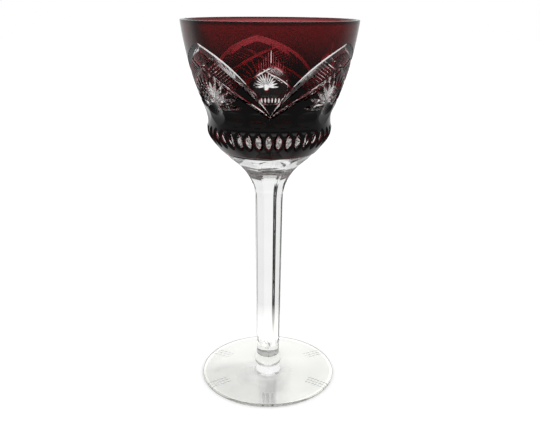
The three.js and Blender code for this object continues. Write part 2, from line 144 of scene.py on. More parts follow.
# For each stroke: its place, and its way under the inner line and half its length in millimetres.
STROKES = ((30.1, 1.6, 1.3), (34.8, 1.5, 1.2), (36.9, 1.7, 1.0), (40.4, 1.5, 1.4), (44.1, 1.6, 1.2),
           (48.9, 1.5, 1.4), (54.2, 1.5, 1.2))
STROKE_DEPTH = 0.3 * MM
STROKE_RUNS = (0.5, 0.9)
RIBS = 11
RIB_PLACES = (21, 40)
RIB_LEAN = 3.0 / MM
RIB_MARGINS = (1.9 * MM, 1.0 * MM)
RIB_RUNS = (0.5, 1.0)
RIB_END_RUN = 1.2
HATCH_PITCH = 1.45 * MM
HATCH_DEPTH = 0.17 * MM
HATCH_RUN = 0.9
RAYS = 13
RAY_PITCH = 1.7
RAY_RUN = 0.9
RAY_TOPS = (9, 11.5)


def bezier(handles, steps=200):
    """Cubic curve of four (radius, height) handles: the Bernstein sum over a share t from 0 to 1."""
    t = np.linspace(0, 1, steps)[:, None]
    a, b, c, d = np.array(handles)
    return (1 - t) ** 3 * a + 3 * (1 - t) ** 2 * t * b + 3 * (1 - t) * t ** 2 * c + t ** 3 * d


def smooth_step(value, start, end):
    """0 before start, 1 after end, and 3t squared less 2t cubed between them."""
    t = np.clip((value - start) / (end - start), 0, 1)
    return t * t * (3 - 2 * t)


bulge_height = BOWL_BASE + BULGE_RISE
bowl_outline = np.vstack([
    bezier([
        (BASE_RADIUS, BOWL_BASE),
        (BULGE_RADIUS + HEEL_PULL, BOWL_BASE + HEEL_RISE),
        (BULGE_RADIUS, bulge_height - BULGE_DROP),
        (BULGE_RADIUS, bulge_height),
    ])[:-1],
    bezier([
        (BULGE_RADIUS, bulge_height),
        (BULGE_RADIUS - WAIST_PULL, bulge_height + WAIST_RISE),
        (RIM_RADIUS - FLARE_PULL, RIM_HEIGHT - FLARE_DROP),
        (RIM_RADIUS, RIM_HEIGHT),
    ]),
])


def outer_radius(height):
    """Radius of the uncut outside of the bowl, read off its outline."""
    return np.interp(height, bowl_outline[:, 1], bowl_outline[:, 0])


def lean(height):
    """Length of a step up the outside of the bowl over its rise."""
    step = 0.2 * MM
    return np.hypot(1, (outer_radius(height + step) - outer_radius(height - step)) / (2 * step))


def wall_thickness(height):
    """Wall of the bowl: thick at the waist, thinning towards the rim as a power of the share left."""
    foot = BOWL_BASE + CUP_WALL_FOOT
    left = np.clip((RIM_HEIGHT - height) / (RIM_HEIGHT - foot), 0, 1)
    return RIM_WALL + (WAIST_WALL - RIM_WALL) * left ** WALL_POWER


def skin(height):
    """Thickness of the ruby skin: a share of the wall that falls towards the rim, less at its foot, and
    more in a bead that gathered along the very edge of the rim."""
    start = np.clip((height - BOWL_BASE) / (5 * MM), 0, 1)
    left = np.clip((RIM_HEIGHT - height) / (RIM_HEIGHT - BOWL_BASE - CUP_WALL_FOOT), 0, 1)
    share = SKIN_SHARE[0] + (SKIN_SHARE[1] - SKIN_SHARE[0]) * left ** SKIN_POWER
    bead = RIM_BEAD * smooth_step(height, RIM_HEIGHT - RIM_BEAD_SPAN[0], RIM_HEIGHT - RIM_BEAD_SPAN[1])
    return share * wall_thickness(height) * (0.3 + 0.7 * start) + bead


def azimuth_of(place):
    """Degrees round the bowl of a place in the even layout: a turn, less a sway that is a sine."""
    sway = LAYOUT_SWAY * np.sin(np.radians(place + LAYOUT_SWAY_PHASE))
    return place + LAYOUT_TURN - sway


def from_valley(place):
    """Places from the nearest valley of the zigzag, negative before it."""
    return (place + HALF_REPEAT) % REPEAT - HALF_REPEAT


def outer_line(place):
    """Height of the outer line from a valley to the peak: a straight rise and a parabola's bow."""
    share = place / HALF_REPEAT
    rise = OUTER_LINE[0] + (OUTER_LINE[1] - OUTER_LINE[0]) * share
    return BOWL_BASE + rise + OUTER_LINE_BOW * share * (1 - share)


def inner_line(place):
    """Height of the inner line, which climbs straight from a valley and on past the peak."""
    return BOWL_BASE + INNER_LINE[0] + (INNER_LINE[1] - INNER_LINE[0]) * place / HALF_REPEAT


def degree_width(height):
    """Width of one degree round the bowl."""
    return np.radians(1) * outer_radius(height)


def over_line(line, place, height):
    """Distance over a line, square to it: the height over it by the cosine of its slope."""
    slope = (line(place + 0.5) - line(place - 0.5)) / degree_width(height)
    return (height - line(place)) / np.hypot(1, slope)


# Each side of each cut has a wall number, so that a crease lies wherever the number changes.
LOW_END, HIGH_END, GROUND_FOOT, GONE, BACK, SIDE = 97, 98, 99, 1000, 2000, 3000


def v_cut(depth, across, low_run, high_run):
    """Depth of a V whose walls run out by low_run and high_run times their depth, and its wall."""
    return depth - np.where(across > 0, across / high_run, -across / low_run), across > 0


def through_cut(deeper, height, across, low_run, high_run):
    """A V that goes deeper into the clear glass than the skin. In the skin its walls are steep, so that
    the ruby ends sharply: they run out by EDGE_RUN times their depth."""
    under, wall = v_cut(deeper, across, low_run, high_run)
    steep = np.where(wall, high_run, low_run) / EDGE_RUN
    return skin(height) + under * np.where(under < 0, np.maximum(steep, 1), 1), wall


def line_cuts(place, height):
    """The outer line is a V that leans over on its way up: its wide wall is the lower one half way and
    the upper one at the peak. It goes LINE_DEPTH millimetres into the clear glass, LINE_SWELL more
    round SWELL_MIDDLE, and not at all in a valley. The inner line is a finer V, and so is the stretch of
    the next arch's inner line that runs on to meet the outer one."""
    away = np.abs(from_valley(place))
    right = from_valley(place) > 0
    over_outer = over_line(outer_line, away, height)
    lean_over = np.clip((away - 22) / 20, 0, 1)
    swell = LINE_DEPTH + LINE_SWELL * np.exp(-((away - SWELL_MIDDLE) / SWELL_WIDTH) ** 2)
    swell = swell - LINE_DEPTH * np.exp(-(away / VALLEY_WIDTH) ** 2)
    upper_run = np.interp(away, *UPPER_RUNS)
    outer, wall = through_cut(swell * MM, height, over_outer, 1.2 + 0.9 * lean_over, upper_run)
    under = (FINE_DEPTH - 0.44 * np.exp(-(away / 6) ** 2)) * MM
    fine = skin(height) + under
    over_inner = over_line(inner_line, away, height)
    inner, inner_wall = v_cut(fine, over_inner, *FINE_RUNS)
    wide, _ = through_cut(under, height, over_inner, *WIDE_RUNS)
    inner = inner + (wide - inner) * smooth_step(away, *WIDE_PLACES)
    over_next = over_line(lambda at: inner_line(REPEAT - at), away, height)
    fade = np.clip(0.5 - over_outer / CROSSING_FADE, 0, 1)
    crossing, crossing_wall = through_cut(under, height, over_next, *WIDE_RUNS)
    crossing = crossing - fine * (1 - fade)
    return [(outer, 1 + 2 * wall + right), (inner, 5 + 2 * inner_wall + right),
            (crossing, 9 + 2 * crossing_wall + right)]


def from_middle(place, height, middle, rise):
    """Distances on the bowl from a middle at a place and a height over the base: round it, as an arc,
    and up it, along the wall."""
    across = np.radians(azimuth_of(place) - azimuth_of(middle)) * outer_radius(height)
    return across, (height - BOWL_BASE - rise) * lean(height)


def oculus_cut(place, height):
    """Cap of an oval ball: its depth falls off with the squares of the distances from its middle, and
    its lower end is bevelled off short."""
    across, up = from_middle(place, height, place - from_valley(place), OCULUS_HEIGHT)
    fall = across ** 2 * (1 / OCULUS_BEND[0] + 1 / outer_radius(height)) / 2
    fall = fall + up ** 2 / OCULUS_BEND[1] / 2 + OCULUS_BEVEL * np.maximum(-up - OCULUS_FOOT, 0)
    return [(OCULUS_DEPTH - fall, np.full(place.shape, 13))]


def fan_cuts(place, height):
    """Leaves on rays from a hub, each a V: their sides spread until they are widest, still touching, and
    close again to a point. Notches feather every other leaf, and a round hollow joins them at the hub."""
    peak = np.floor(place / REPEAT) * REPEAT + HALF_REPEAT
    across, up = from_middle(place, height, peak, FAN_HEIGHT)
    out, angle = np.hypot(across, up), np.arctan2(up, across)
    step = np.pi / (FAN_LEAVES - 1)
    leaf = np.clip(np.round(angle / step), 0, FAN_LEAVES - 1)
    leaf = np.where(angle < -np.pi / 2, FAN_LEAVES - 1, leaf)
    aside, along = out * np.sin(angle - leaf * step), out * np.cos(angle - leaf * step)
    reach = FAN_REACH[1] + (FAN_REACH[0] - FAN_REACH[1]) * (1 - np.sin(leaf * step)) ** 2
    past = np.clip((along - LEAF_WIDEST) / (reach - LEAF_WIDEST), 0, 1)
    half = np.tan(step / 2) * np.minimum(along, LEAF_WIDEST * (1 - past ** LEAF_POWER))
    tip = np.clip((reach + LEAF_TIP - along) / LEAF_TIP, 0, 1)
    depth, wall = through_cut(half / LEAF_RUN, height, aside, LEAF_RUN, LEAF_RUN)
    depth = depth - skin(height) * (1 - tip)
    notches = (leaf % 4 == 2) & (along > NOTCH_START)
    ripple = np.abs(((out + np.abs(aside)) / NOTCH_PITCH) % 1 - 0.5) * NOTCH_DEPTH
    depth = np.where(along > 0, depth - np.where(notches, ripple, 0), -1)
    hollow = skin(height) + FAN_HUB_DEPTH * (1 - (out / FAN_HUB) ** 2)
    return [(depth, 14 + 2 * leaf.astype(int) + wall), (hollow, np.full(place.shape, 40))]


def lens_cuts(place, height):
    """Upright lenses in a row round the bulge, pointed at both ends. Across, the depth falls off with
    the distance by a slope, and with its square over a length."""
    pitch = 360 / LENSES
    turn = (azimuth_of(place) + LENS_TURN + pitch / 2) % pitch - pitch / 2
    across = np.radians(turn) * outer_radius(height)
    share = (height - BOWL_BASE - LENS_SPAN[0]) / (LENS_SPAN[1] - LENS_SPAN[0])
    swell = 1 - np.abs(2 * share - 1) ** LENS_POINT
    depth = LENS_DEPTH * swell - np.abs(across) * LENS_SLOPE - across ** 2 / LENS_ROUND
    return [(depth, 41 + (across > 0))]


def facet_cuts(place, height):
    """Flats round the waist, counted from the peaks: each is ground by a wheel with a level axle that
    stands square to the wall, and meets the next in a ridge. They stay within the skin."""
    pitch = 360 / FACETS
    middle = np.round((place - HALF_REPEAT) / pitch) * pitch + HALF_REPEAT
    turn = azimuth_of(place) - azimuth_of(middle)
    at = BOWL_BASE + FACET_HEIGHT
    slope = np.sqrt(lean(at) ** 2 - 1)
    stand = (FACET_WHEEL - FACET_DEPTH) / lean(at)
    rise = height - at + slope * stand
    flat = outer_radius(at) + stand - np.sqrt(np.maximum(FACET_WHEEL ** 2 - rise ** 2, 0))
    depth = (outer_radius(height) - flat / np.cos(np.radians(turn))) / lean(height)
    number = np.round((place - HALF_REPEAT) / pitch).astype(int) % 3
    return [(np.where(np.abs(height - at) < 0.8 * FACET_WHEEL, depth, -1), 43 + number)]


def stroke_cuts(place, height):
    """Short strokes under the inner line, along it: each is a fine V that fades in and out."""
    away = np.abs(from_valley(place))
    under = -over_line(inner_line, away, height)
    cuts = []
    for number, (at, margin, reach) in enumerate(STROKES):
        along = (away - at) * degree_width(height) * 1.2
        swell = 1 - (along / (reach * MM)) ** 2
        depth, wall = v_cut(skin(height) + STROKE_DEPTH * swell, margin * MM - under, *STROKE_RUNS)
        cuts.append((np.where(swell > -0.6, depth, -1), 101 + 2 * number + wall))
    return cuts


def deepest(cuts, place, height):
    """Depth and wall of the deepest of several cuts at each point; wall 0 is the uncut surface."""
    depth, wall = np.zeros(place.shape), np.zeros(place.shape, int)
    for cut in cuts:
        for cut_depth, cut_wall in cut(place, height):
            wall = np.where(cut_depth > depth, cut_wall, wall)
            depth = np.maximum(depth, cut_depth)
    return depth, wall


# Fields of the skin
RIM, WAIST, BAND, DIAMOND = range(4)


def field_of(place, height):
    """Which field of the skin a point lies in, by the lines that it lies over."""
    away = np.abs(from_valley(place))
    under_next = height < inner_line(REPEAT - away)
    field = np.where(height > outer_line(away), RIM, np.where(under_next, BAND, DIAMOND))
    return np.where(height < inner_line(away), WAIST, field)


def rib_cuts(place, height):
    """Ribs across a band: even Vs square to a leaning direction. They stay within the skin beside the
    valley and go through it towards the peak."""
    away = np.abs(from_valley(place))
    first, last = (at + RIB_LEAN * outer_line(at) for at in RIB_PLACES)
    pitch = (last - first) / (RIBS - 1)
    number = (away + RIB_LEAN * height - first) / pitch
    rib = np.round(number)
    scale = pitch / np.hypot(1 / degree_width(height), RIB_LEAN)
    below = -over_line(outer_line, away, height)
    above = over_line(inner_line, away, height)
    share = np.clip(below / np.maximum(below + above, MM), 0, 1)
    climb = (rib / (RIBS - 1)) * (1 - 0.6 * share)
    deep = skin(height) * (0.93 + 0.07 * climb) + 0.3 * MM * climb
    depth, wall = v_cut(deep, (number - rib) * scale, *RIB_RUNS)
    depth = np.minimum(depth, np.minimum(below - RIB_MARGINS[0], above - RIB_MARGINS[1]) / RIB_END_RUN)
    inside = (rib >= 0) & (rib < RIBS) & (field_of(place, height) == BAND)
    return [(np.where(inside, depth, -1), 50 + 2 * rib.astype(int) % 40 + wall)]


def hatch_cuts(place, height):
    """Fine crossed lines in the diamonds, along both directions of the inner lines."""
    short = HALF_REPEAT - np.abs(from_valley(place))
    steep = (INNER_LINE[1] - INNER_LINE[0]) / HALF_REPEAT
    slope = steep / degree_width(height)
    cuts = []
    for way in (1, -1):
        across = (height + way * steep * short) / np.hypot(1, slope) / HATCH_PITCH
        depth, wall = v_cut(HATCH_DEPTH, (across - np.round(across)) * HATCH_PITCH, HATCH_RUN, HATCH_RUN)
        cuts.append((np.where(field_of(place, height) == DIAMOND, depth, -1), 92 + (way > 0) + 2 * wall))
    return cuts


def ray_cuts(place, height):
    """Fine upright rays over each oculus: the middle one is the deepest and reaches highest."""
    away = from_valley(place)
    number = np.clip(np.round(away / RAY_PITCH), -(RAYS // 2), RAYS // 2)
    across = np.radians(away - number * RAY_PITCH) * outer_radius(height)
    reach = 1 - np.abs(number) / RAYS
    top = BOWL_BASE + OCULUS_HEIGHT + (RAY_TOPS[0] + RAY_TOPS[1] * reach ** 2) * MM
    middle = number == 0
    depth = skin(height) * np.where(middle, 1, 0.85) + 0.12 * MM * middle
    cut, wall = v_cut(np.minimum(depth, (top - height) / 10), across, RAY_RUN, RAY_RUN)
    return [(np.where(height > BOWL_BASE + OCULUS_HEIGHT, cut, -1), 96 + wall)]


ALL_CUTS = (line_cuts, oculus_cut, fan_cuts, lens_cuts, facet_cuts, stroke_cuts, rib_cuts, hatch_cuts,
            ray_cuts)


def casing_edge(place):
    """Height of the lower edge of the ruby skin, which was ground a little askew."""
    return BOWL_BASE + 0.6 * MM - 0.4 * MM * np.sin(np.radians(azimuth_of(place) + 20))


def clear_wall(place, height):
    """Wall number of the clear body: 0 where the ruby skin still covers it."""
    depth, wall = deepest(ALL_CUTS, place, height)
    return np.where(height < casing_edge(place), GROUND_FOOT, np.where(depth > skin(height), wall, 0))


def crossing_share(wall_of, start, end, start_wall):
    """Share of the way from start to end at which the wall number changes, by halving nine times."""
    low, high = np.zeros(start_wall.shape), np.ones(start_wall.shape)
    for _ in range(9):
        middle = (low + high) / 2
        same = wall_of(*(start + (end - start) * middle)) == start_wall
        low, high = np.where(same, middle, low), np.where(same, high, middle)
    return high


def snapped_grid(places, heights, wall_of, ring):
    """Grid over places, with a row of heights for each, whose points move, by less than half a cell,
    onto the nearest crease between two walls. Gives points, triangles and triangles' wall numbers."""
    heights = np.broadcast_to(heights, (len(places), np.shape(heights)[-1]))
    points = np.array([np.broadcast_to(places[:, None], heights.shape), heights])
    wall = wall_of(*points)
    columns, rows = heights.shape
    if ring:
        seam = points[:, :1] + np.array([360.0, 0])[:, None, None]
        points, wall = np.concatenate([points, seam], 1), np.concatenate([wall, wall[:1]])
    nearest = np.full(wall.shape, 0.5)
    shift = np.zeros(points.shape)
    for axis in (0, 1):
        ahead = tuple(slice(1, None) if i == axis else slice(None) for i in (0, 1))
        behind = tuple(slice(None, -1) if i == axis else slice(None) for i in (0, 1))
        start, end = points[(slice(None), *behind)], points[(slice(None), *ahead)]
        change = wall[behind] != wall[ahead]
        share = np.full(change.shape, 2.0)
        share[change] = crossing_share(wall_of, start[:, change], end[:, change], wall[behind][change])
        for near, part, move in ((behind, share, share), (ahead, 1 - share, share - 1)):
            part = np.where(change, part, 2.0)
            closer = part < nearest[near]
            nearest[near] = np.where(closer, part, nearest[near])
            shift[(slice(None), *near)] = np.where(closer, move * (end - start), shift[(slice(None), *near)])
    if ring:
        better = nearest[-1] < nearest[0]
        shift[:, 0] = np.where(better, shift[:, -1], shift[:, 0])
        shift[:, -1] = shift[:, 0]
    points = points + shift
    snapped = np.any(shift != 0, 0)
    index = np.arange(columns)[:, None] * rows + np.arange(rows)
    if ring:
        index = np.concatenate([index, index[:1]])
    at = [index[:-1, :-1], index[1:, :-1], index[1:, 1:], index[:-1, 1:]]
    held = [snapped[:-1, :-1], snapped[1:, :-1], snapped[1:, 1:], snapped[:-1, 1:]]
    place = [points[:, :-1, :-1], points[:, 1:, :-1], points[:, 1:, 1:], points[:, :-1, 1:]]
    turn = held[1] & held[3] & ~(held[0] & held[2])
    faces, walls = [], []
    for straight, turned in (((0, 1, 2), (0, 1, 3)), ((0, 2, 3), (1, 2, 3))):
        pick = [np.where(turn, at[b], at[a]) for a, b in zip(straight, turned)]
        middle = sum(np.where(turn, place[b], place[a]) for a, b in zip(straight, turned)) / 3
        faces.append(np.stack(pick, -1).reshape(-1, 3))
        walls.append(wall_of(*middle).reshape(-1))
    points = points[:, :columns].reshape(2, -1)
    return points, np.vstack(faces), np.concatenate(walls)


def round_axis(radius, azimuth, height):
    """Points at a radius and height, with azimuth 0 at the front, in radians."""
    return np.stack([radius * np.sin(azimuth), -radius * np.cos(azimuth), height], -1)


def bowl_points(place, height, depth):
    """Points on the bowl, sunk by a depth: the radius less the depth, level, by the lean of the wall."""
    radius = outer_radius(height) - depth * lean(height)
    return round_axis(radius, np.radians(azimuth_of(place)), height)


def halving_strip(wide, narrow):
    """Triangles between a ring of 2n points and a ring of n above it: three for each narrow edge."""
    a, b, c = wide[0::2], wide[1::2], np.roll(wide, -2)[0::2]
    d, e = narrow, np.roll(narrow, -1)
    return np.vstack([np.stack(corners, -1) for corners in ((a, b, d), (b, e, d), (b, c, e))])


def tube_faces(rings):
    """Triangles between each ring of point numbers and the next one, seen from outside when they rise."""
    low, high = rings[:-1], rings[1:]
    low_next, high_next = np.roll(low, -1, 1), np.roll(high, -1, 1)
    return np.vstack([
        np.stack([low, low_next, high_next], -1).reshape(-1, 3),
        np.stack([low, high_next, high], -1).reshape(-1, 3),
    ])


def fan_faces(ring, centre):
    """Triangles from each edge of a ring of point numbers to one centre point."""
    return np.stack([ring, np.roll(ring, -1), np.full(ring.shape, centre)], -1)


def make_piece(name, points, faces, materials, kinds=None, walls=None, thickness=None):
    """A mesh object from arrays. kinds picks each face's material, and edges between faces with unlike
    wall numbers are sharp. thickness is kept as an attribute of the points."""
    mesh = bpy.data.meshes.new(name)
    mesh.vertices.add(len(points))
    mesh.vertices.foreach_set("co", points.astype(np.float32).reshape(-1))
    mesh.loops.add(faces.size)
    mesh.loops.foreach_set("vertex_index", faces.astype(np.int32).reshape(-1))
    mesh.polygons.add(len(faces))
    mesh.polygons.foreach_set("loop_start", np.arange(0, faces.size, 3, dtype=np.int32))
    for material in materials:
        mesh.materials.append(material)
    if kinds is not None:
        mesh.polygons.foreach_set("material_index", kinds.astype(np.int32))
    mesh.update(calc_edges=True)
    mesh.polygons.foreach_set("use_smooth", np.ones(len(faces), bool))
    if walls is not None:
        edge_of = np.empty(faces.size, np.int32)
        mesh.loops.foreach_get("edge_index", edge_of)
        lowest = np.full(len(mesh.edges), np.iinfo(np.int32).max)
        highest = np.full(len(mesh.edges), np.iinfo(np.int32).min)
        np.minimum.at(lowest, edge_of, np.repeat(walls, 3))
        np.maximum.at(highest, edge_of, np.repeat(walls, 3))
        sharp = mesh.attributes.new("sharp_edge", "BOOLEAN", "EDGE")
        sharp.data.foreach_set("value", lowest != highest)
    if thickness is not None:
        left = mesh.attributes.new("thickness", "FLOAT", "POINT")
        left.data.foreach_set("value", thickness.astype(np.float32))
    piece = bpy.data.objects.new(name, mesh)
    bpy.context.scene.collection.objects.link(piece)
    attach(piece, "root")
    return piece


def new_material(name):
    """An empty node material, its node tree and its output node."""
    material = bpy.data.materials.new(name)
    material.use_nodes = True
    tree = material.node_tree
    tree.nodes.clear()
    output = tree.nodes.new("ShaderNodeOutputMaterial")
    return material, tree, output


def feed(tree, socket, value):
    """Gives a socket a plain value, or links it to the socket that the value comes from."""
    if isinstance(value, bpy.types.NodeSocket):
        tree.links.new(value, socket)
    else:
        socket.default_value = value


def add_node(tree, kind, **inputs):
    """A node of a kind; each input is a value or the socket that feeds it."""
    node = tree.nodes.new("ShaderNode" + kind)
    for name, value in inputs.items():
        feed(tree, node.inputs[name.replace("_", " ")], value)
    return node


def calculated(tree, operation, a, b=0.5, clamp=False):
    """Result of an operation on one value or two."""
    node = tree.nodes.new("ShaderNodeMath")
    node.operation = operation
    node.use_clamp = clamp
    feed(tree, node.inputs[0], a)
    feed(tree, node.inputs[1], b)
    return node.outputs[0]


def graded(tree, value, start, end, low=0.0, high=1.0):
    """Low where a value is under start, high where it is over end, and even between them."""
    ends = {"From_Min": start, "From_Max": end, "To_Min": low, "To_Max": high}
    return add_node(tree, "MapRange", Value=value, **ends).outputs[0]


def length_of(tree, vector):
    """Length of a vector."""
    node = add_node(tree, "VectorMath", Vector=vector)
    node.operation = "LENGTH"
    return node.outputs["Value"]


def mixed(tree, share, a, b, kind="FLOAT"):
    """A value, or a colour, that is a where the share is 0 and b where it is 1."""
    node = add_node(tree, "Mix", Factor=share)
    node.data_type = kind
    feed(tree, node.inputs["A"], a)
    feed(tree, node.inputs["B"], b)
    return node.outputs["Result"]


def mixed_shaders(tree, share, a, b):
    """A shader that is a where the share is 0 and b where it is 1."""
    node = add_node(tree, "MixShader", Fac=share)
    feed(tree, node.inputs[1], a)
    feed(tree, node.inputs[2], b)
    return node.outputs[0]


def glass_wear_group():
    """Unevenness of hand-made glass: long faint cords in its height, and a film that dulls it in
    patches. Cords are noise stretched along the axis; the film is fine noise over broad noise."""
    group = bpy.data.node_groups.new("hand_made_glass", "ShaderNodeTree")
    for name, default in (("Cord Size", 120.0), ("Film", 0.02)):
        socket = group.interface.new_socket(name, in_out="INPUT", socket_type="NodeSocketFloat")
        socket.default_value = default
    for name in ("Height", "Roughness", "Shade"):
        group.interface.new_socket(name, in_out="OUTPUT", socket_type="NodeSocketFloat")
    taken, given = group.nodes.new("NodeGroupInput"), group.nodes.new("NodeGroupOutput")
    place = group.nodes.new("ShaderNodeTexCoord").outputs["Object"]
    stretched = add_node(group, "Mapping", Vector=place, Scale=(1, 1, 0.35)).outputs[0]
    cords = add_node(group, "TexNoise", Vector=stretched, Scale=taken.outputs[0], Detail=2.0).outputs[0]
    film = add_node(group, "TexNoise", Vector=place, Scale=55.0, Detail=4.0).outputs[0]
    specks = add_node(group, "TexNoise", Vector=place, Scale=900.0, Detail=2.0).outputs[0]
    patches = graded(group, film, 0.45, 0.75)
    dull = calculated(group, "MULTIPLY", patches, specks)
    rough = calculated(group, "MULTIPLY", dull, taken.outputs[1])
    for value, socket in zip((cords, rough, patches), given.inputs):
        group.links.new(value, socket)
    return group


hand_made_glass = glass_wear_group()
CRYSTAL_IOR = 1.54
CLEAN_TINT = (0.985, 0.99, 0.985, 1)
FILM_TINT = (0.93, 0.94, 0.93, 1)
# Painted shade along the foot's rim: a grey outline in place of the dark surroundings that the edge turns.
PAINTED_EDGE_SHADE_TINT = (0.5, 0.49, 0.46, 1)


def glass_shader(tree, output, cord_size, cord_height, film):
    """Polished glass: a transmissive Principled shader, with cords as a bump and film as roughness."""
    wear = tree.nodes.new("ShaderNodeGroup")
    wear.node_tree = hand_made_glass
    wear.inputs["Cord Size"].default_value = cord_size
    wear.inputs["Film"].default_value = film
    bump = add_node(tree, "Bump", Height=wear.outputs["Height"], Distance=cord_height, Strength=1.0)
    shader = add_node(tree, "BsdfPrincipled", Roughness=wear.outputs["Roughness"], Normal=bump.outputs[0])
    shader.inputs["IOR"].default_value = CRYSTAL_IOR
    shader.inputs["Transmission Weight"].default_value = 1.0
    tree.links.new(shader.outputs[0], output.inputs["Surface"])
    return shader, wear


def crystal_material(name, cord_size, cord_height, film, painted_edge_radius=None):
    """Clear crystal: faintly grey where its film lies, and with painted shade at a thin edge of the given
    radius: a grey outline that stands in for the dark surroundings which the edge turns and mirrors."""
    material, tree, output = new_material(name)
    shader, wear = glass_shader(tree, output, cord_size, cord_height, film)
    colour = mixed(tree, wear.outputs["Shade"], CLEAN_TINT, FILM_TINT, "RGBA")
    if painted_edge_radius:
        place = tree.nodes.new("ShaderNodeTexCoord").outputs["Object"]
        level = add_node(tree, "Mapping", Vector=place, Scale=(1, 1, 0)).outputs[0]
        # Painted shade: a grey ring just inside the edge.
        edge = graded(tree, length_of(tree, level), painted_edge_radius - 0.75 * MM, painted_edge_radius - 0.45 * MM)
        colour = mixed(tree, edge, colour, PAINTED_EDGE_SHADE_TINT, "RGBA")
    tree.links.new(colour, shader.inputs["Base Color"])
    return material


def fused_material(name, colour=(1, 1, 1, 1)):
    """A joint that was fused hot, where light goes straight through."""
    material, tree, output = new_material(name)
    shader = add_node(tree, "BsdfTransparent", Color=colour)
    tree.links.new(shader.outputs[0], output.inputs["Surface"])
    return material


def hazy_material(name, colour, haze_share):
    """A joint that shows: a haze in the glass, of which a share is milky and the rest is clear."""
    material, tree, output = new_material(name)
    clear = add_node(tree, "BsdfTransparent", Color=(1, 1, 1, 1)).outputs[0]
    milky = [add_node(tree, kind, Color=colour).outputs[0] for kind in ("BsdfDiffuse", "BsdfTranslucent")]
    haze = mixed_shaders(tree, 0.7, *milky)
    tree.links.new(mixed_shaders(tree, haze_share, clear, haze), output.inputs["Surface"])
    return material


def cup_radius(height):
    """Radius of the inside: the outside less the wall."""
    return outer_radius(height) - wall_thickness(height)


def cup_profile():
    """Inside of the cup from the rim down, as [radius, height]: a rounded lip, the wall, a bowed floor."""
    foot = BOWL_BASE + CUP_WALL_FOOT
    turn = np.linspace(0, np.pi / 2, 5)
    lip = [cup_radius(RIM_HEIGHT) + LIP_ROUND * (1 - np.sin(turn)),
           RIM_HEIGHT - LIP_ROUND * (1 - np.cos(turn))]
    wall_heights = np.linspace(RIM_HEIGHT - LIP_ROUND, foot, 26)[1:]
    wall = [cup_radius(wall_heights), wall_heights]
    side, bend = cup_radius(foot), CUP_WALL_FOOT * CUP_FLOOR_BEND
    slope = (cup_radius(foot + MM) - side) / MM
    floor = bezier([(side, foot), (side - slope * bend, foot - bend),
                    (side * CUP_FLOOR_FLAT, BOWL_BASE + CUP_FLOOR), (0, BOWL_BASE + CUP_FLOOR)], 36)
    return np.vstack([np.stack(lip, -1), np.stack(wall, -1), floor[1:-1]])


def spaced(*stretches):
    """Values from stretches of (start, end, step), each split evenly into whole steps."""
    lines = [np.linspace(a, b, int(np.ceil((b - a) / step)), endpoint=False) for a, b, step in stretches]
    return np.append(np.concatenate(lines), stretches[-1][1])


# Columns as stretches of places, (start, end, step), the rows at which pattern_rows changes its step, and
# the rows of the cup whose rings have half as many points as the ring before
HALF_COLUMNS = ((0, 20, 0.7), (20, 41, 0.39), (41, HALF_REPEAT, 0.58))
ROWS = (0, 7, 30, 35, 118, 123)
HALVED_ROWS = (1, 3)


def ring_places(*half):
    """Places all round, from stretches of (start, end, step) between a valley and a peak."""
    part = spaced(*half)
    part = np.concatenate([part[:-1], REPEAT - part[:0:-1]])
    return np.concatenate([part + REPEAT * i for i in range(3)])


def pattern_rows(places):
    """Heights of the rows for each place: close together over the lenses, and from just under the
    inner line, or the fan, to just over the outer line, or the window. Straight between these."""
    away = np.abs(from_valley(places))
    low = inner_line(away) - 1.5 * MM
    low = low + (BOWL_BASE + 22 * MM - low) * smooth_step(away, 40, 45)
    high = outer_line(away) + 1.6 * MM
    high = np.maximum(high, BOWL_BASE + 49 * MM - 8 * MM * smooth_step(away, 10, 18))
    knots = np.stack([
        np.full(away.shape, BOWL_BASE), np.full(away.shape, BOWL_BASE + 4.3 * MM),
        np.full(away.shape, BOWL_BASE + 16 * MM), low, high, np.full(away.shape, RIM_HEIGHT)])
    return np.array([np.interp(np.arange(ROWS[-1] + 1), ROWS, column) for column in knots.T])


crystal = crystal_material("clear_crystal_bowl", 90.0, 0.02 * MM, 0.02)
fused = fused_material("fused_joint")
ground_joint = hazy_material("ground_joint", (1, 1, 0.96, 1), 0.45)


def clear_bowl():
    """The cut outside as a snapped grid, closed by the lip, the cup and the flat under the bowl."""
    places = ring_places(*HALF_COLUMNS)
    heights = pattern_rows(places)
    grid, faces, walls = snapped_grid(places, heights, clear_wall, True)
    depth = np.maximum(deepest(ALL_CUTS, *grid)[0], skin(grid[1]))
    points = [bowl_points(*grid, depth)]
    columns = np.arange(len(places)) * heights.shape[1]
    ring = columns + heights.shape[1] - 1
    count, extra = len(grid[0]), []
    azimuth = np.radians(azimuth_of(places))
    for i, (radius, height) in enumerate(cup_profile()):
        if i in HALVED_ROWS:
            azimuth = azimuth[::2]
        new = count + np.arange(len(azimuth))
        count += len(azimuth)
        points.append(round_axis(radius, azimuth, np.full(azimuth.shape, height)))
        extra.append(halving_strip(ring, new) if len(new) < len(ring) else tube_faces(np.array([ring, new])))
        ring = new
    points += [[(0, 0, BOWL_BASE + CUP_FLOOR)], [(0, 0, BOWL_BASE)]]
    extra.append(fan_faces(ring, count))
    under = fan_faces(columns, count + 1)[:, [1, 0, 2]]
    cup = np.vstack(extra)
    kinds = np.concatenate([walls == 0, np.zeros(len(cup)), np.full(len(under), 2)])
    walls = np.concatenate([walls, np.full(len(cup), HIGH_END), np.full(len(under), LOW_END)])
    materials = [crystal, fused, ground_joint]
    return make_piece(
        "clear_bowl_crystal", np.vstack(points), np.vstack([faces, cup, under]), materials, kinds, walls)


bowl = clear_bowl()
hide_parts("clear_bowl")


# Ruby casing
# The skin of ruby glass over the crystal. The cuts that go through it divide it into the rim, the waist,
# six ribbed bands and three hatched diamonds; its cut edges thin out, so they glow a lighter red.
THINNEST = 0.03 * MM
CASING_ROUND = 0.5 * MM

